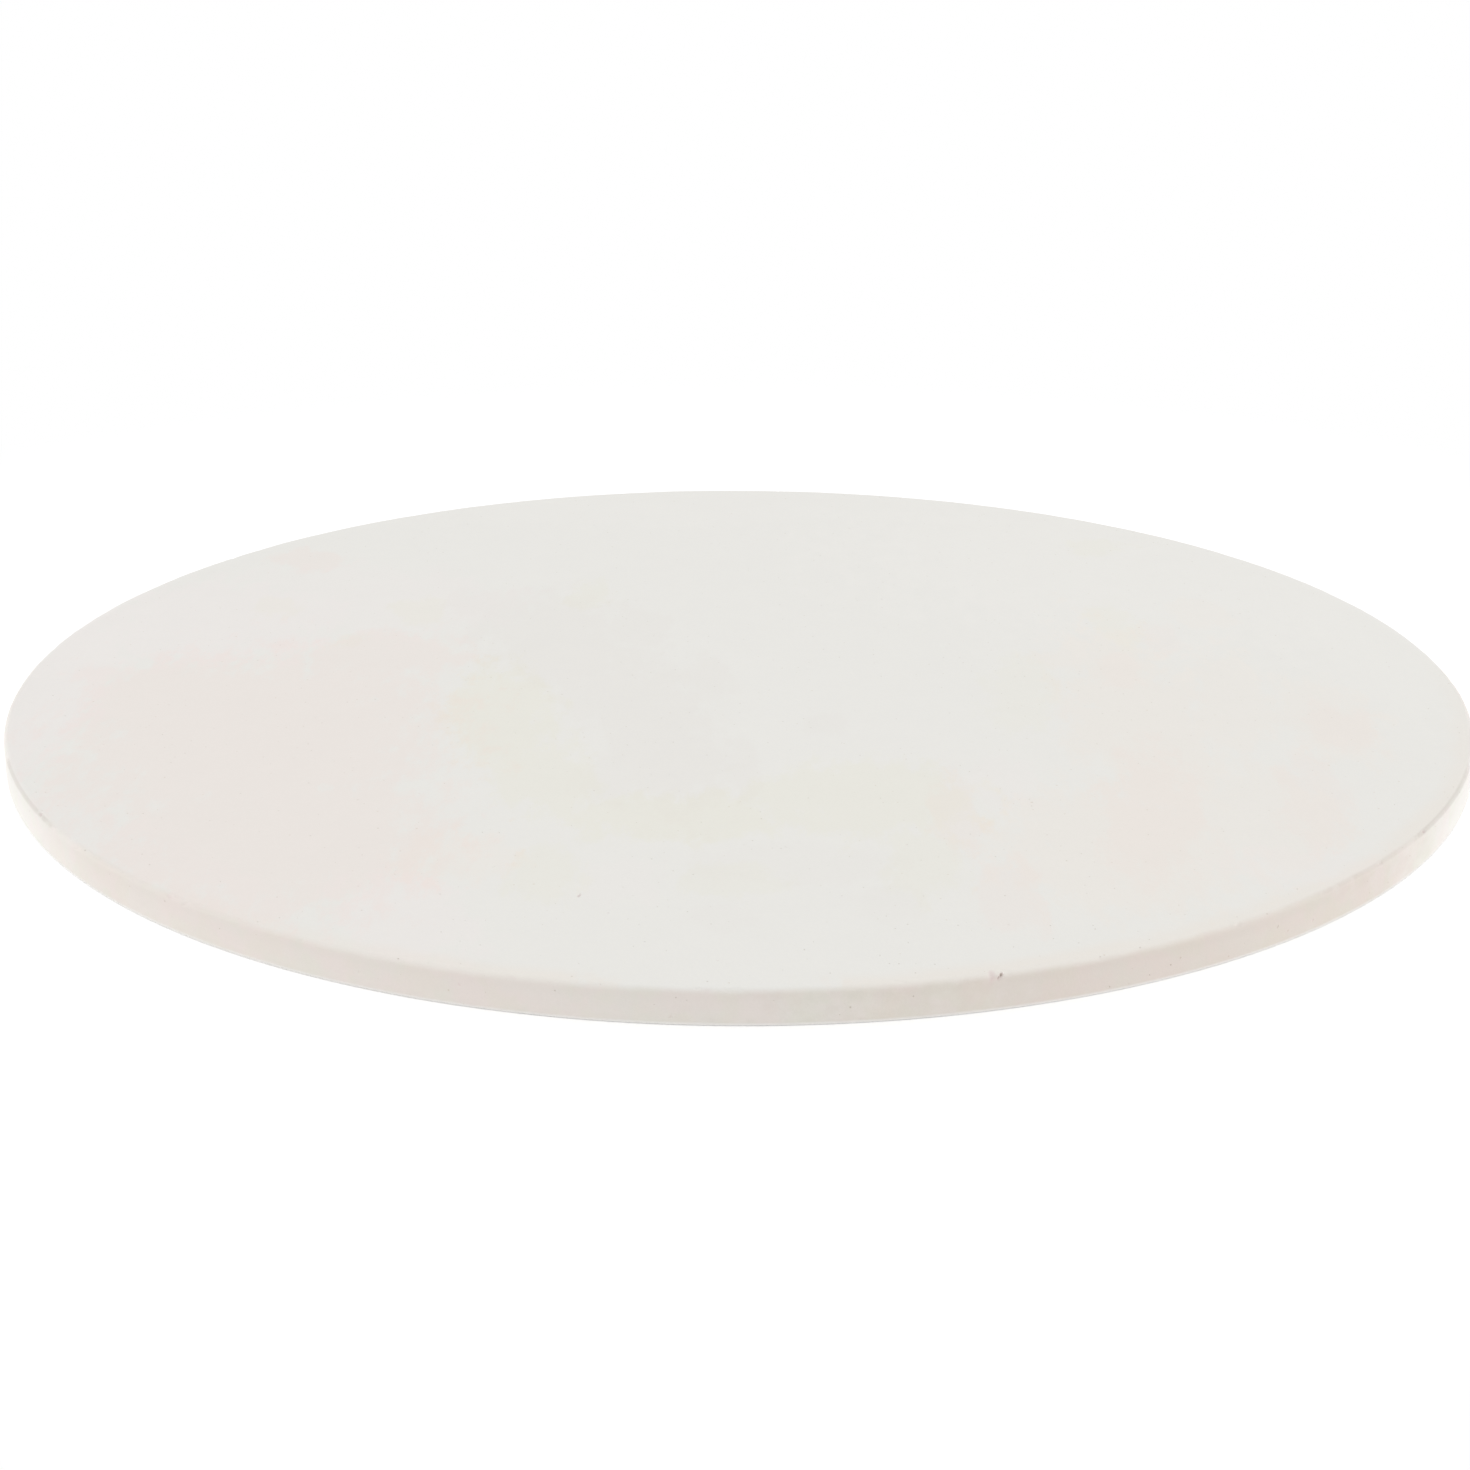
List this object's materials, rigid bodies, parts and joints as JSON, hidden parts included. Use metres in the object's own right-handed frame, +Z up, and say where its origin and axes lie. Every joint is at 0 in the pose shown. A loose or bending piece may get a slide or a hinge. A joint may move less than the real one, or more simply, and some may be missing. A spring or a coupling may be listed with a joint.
{
  "type": "pizza stone",
  "caption": "Round, flat baking stone of fired ceramic that stores the oven's heat and bakes the dough laid on it.",
  "frame": {"origin": "middle of the underside, on the plane that the stone rests on", "axes": "+Z up, square to the slab, from the underside to the baking face; the slab is round about it"},
  "size_m": [0.3599, 0.36, 0.008],
  "materials": {
    "fired_ceramic": "matte, unglazed, finely gritty"
  },
  "bodies": {
    "root": {"baking_slab": "fired_ceramic"}
  },
  "joints": []
}
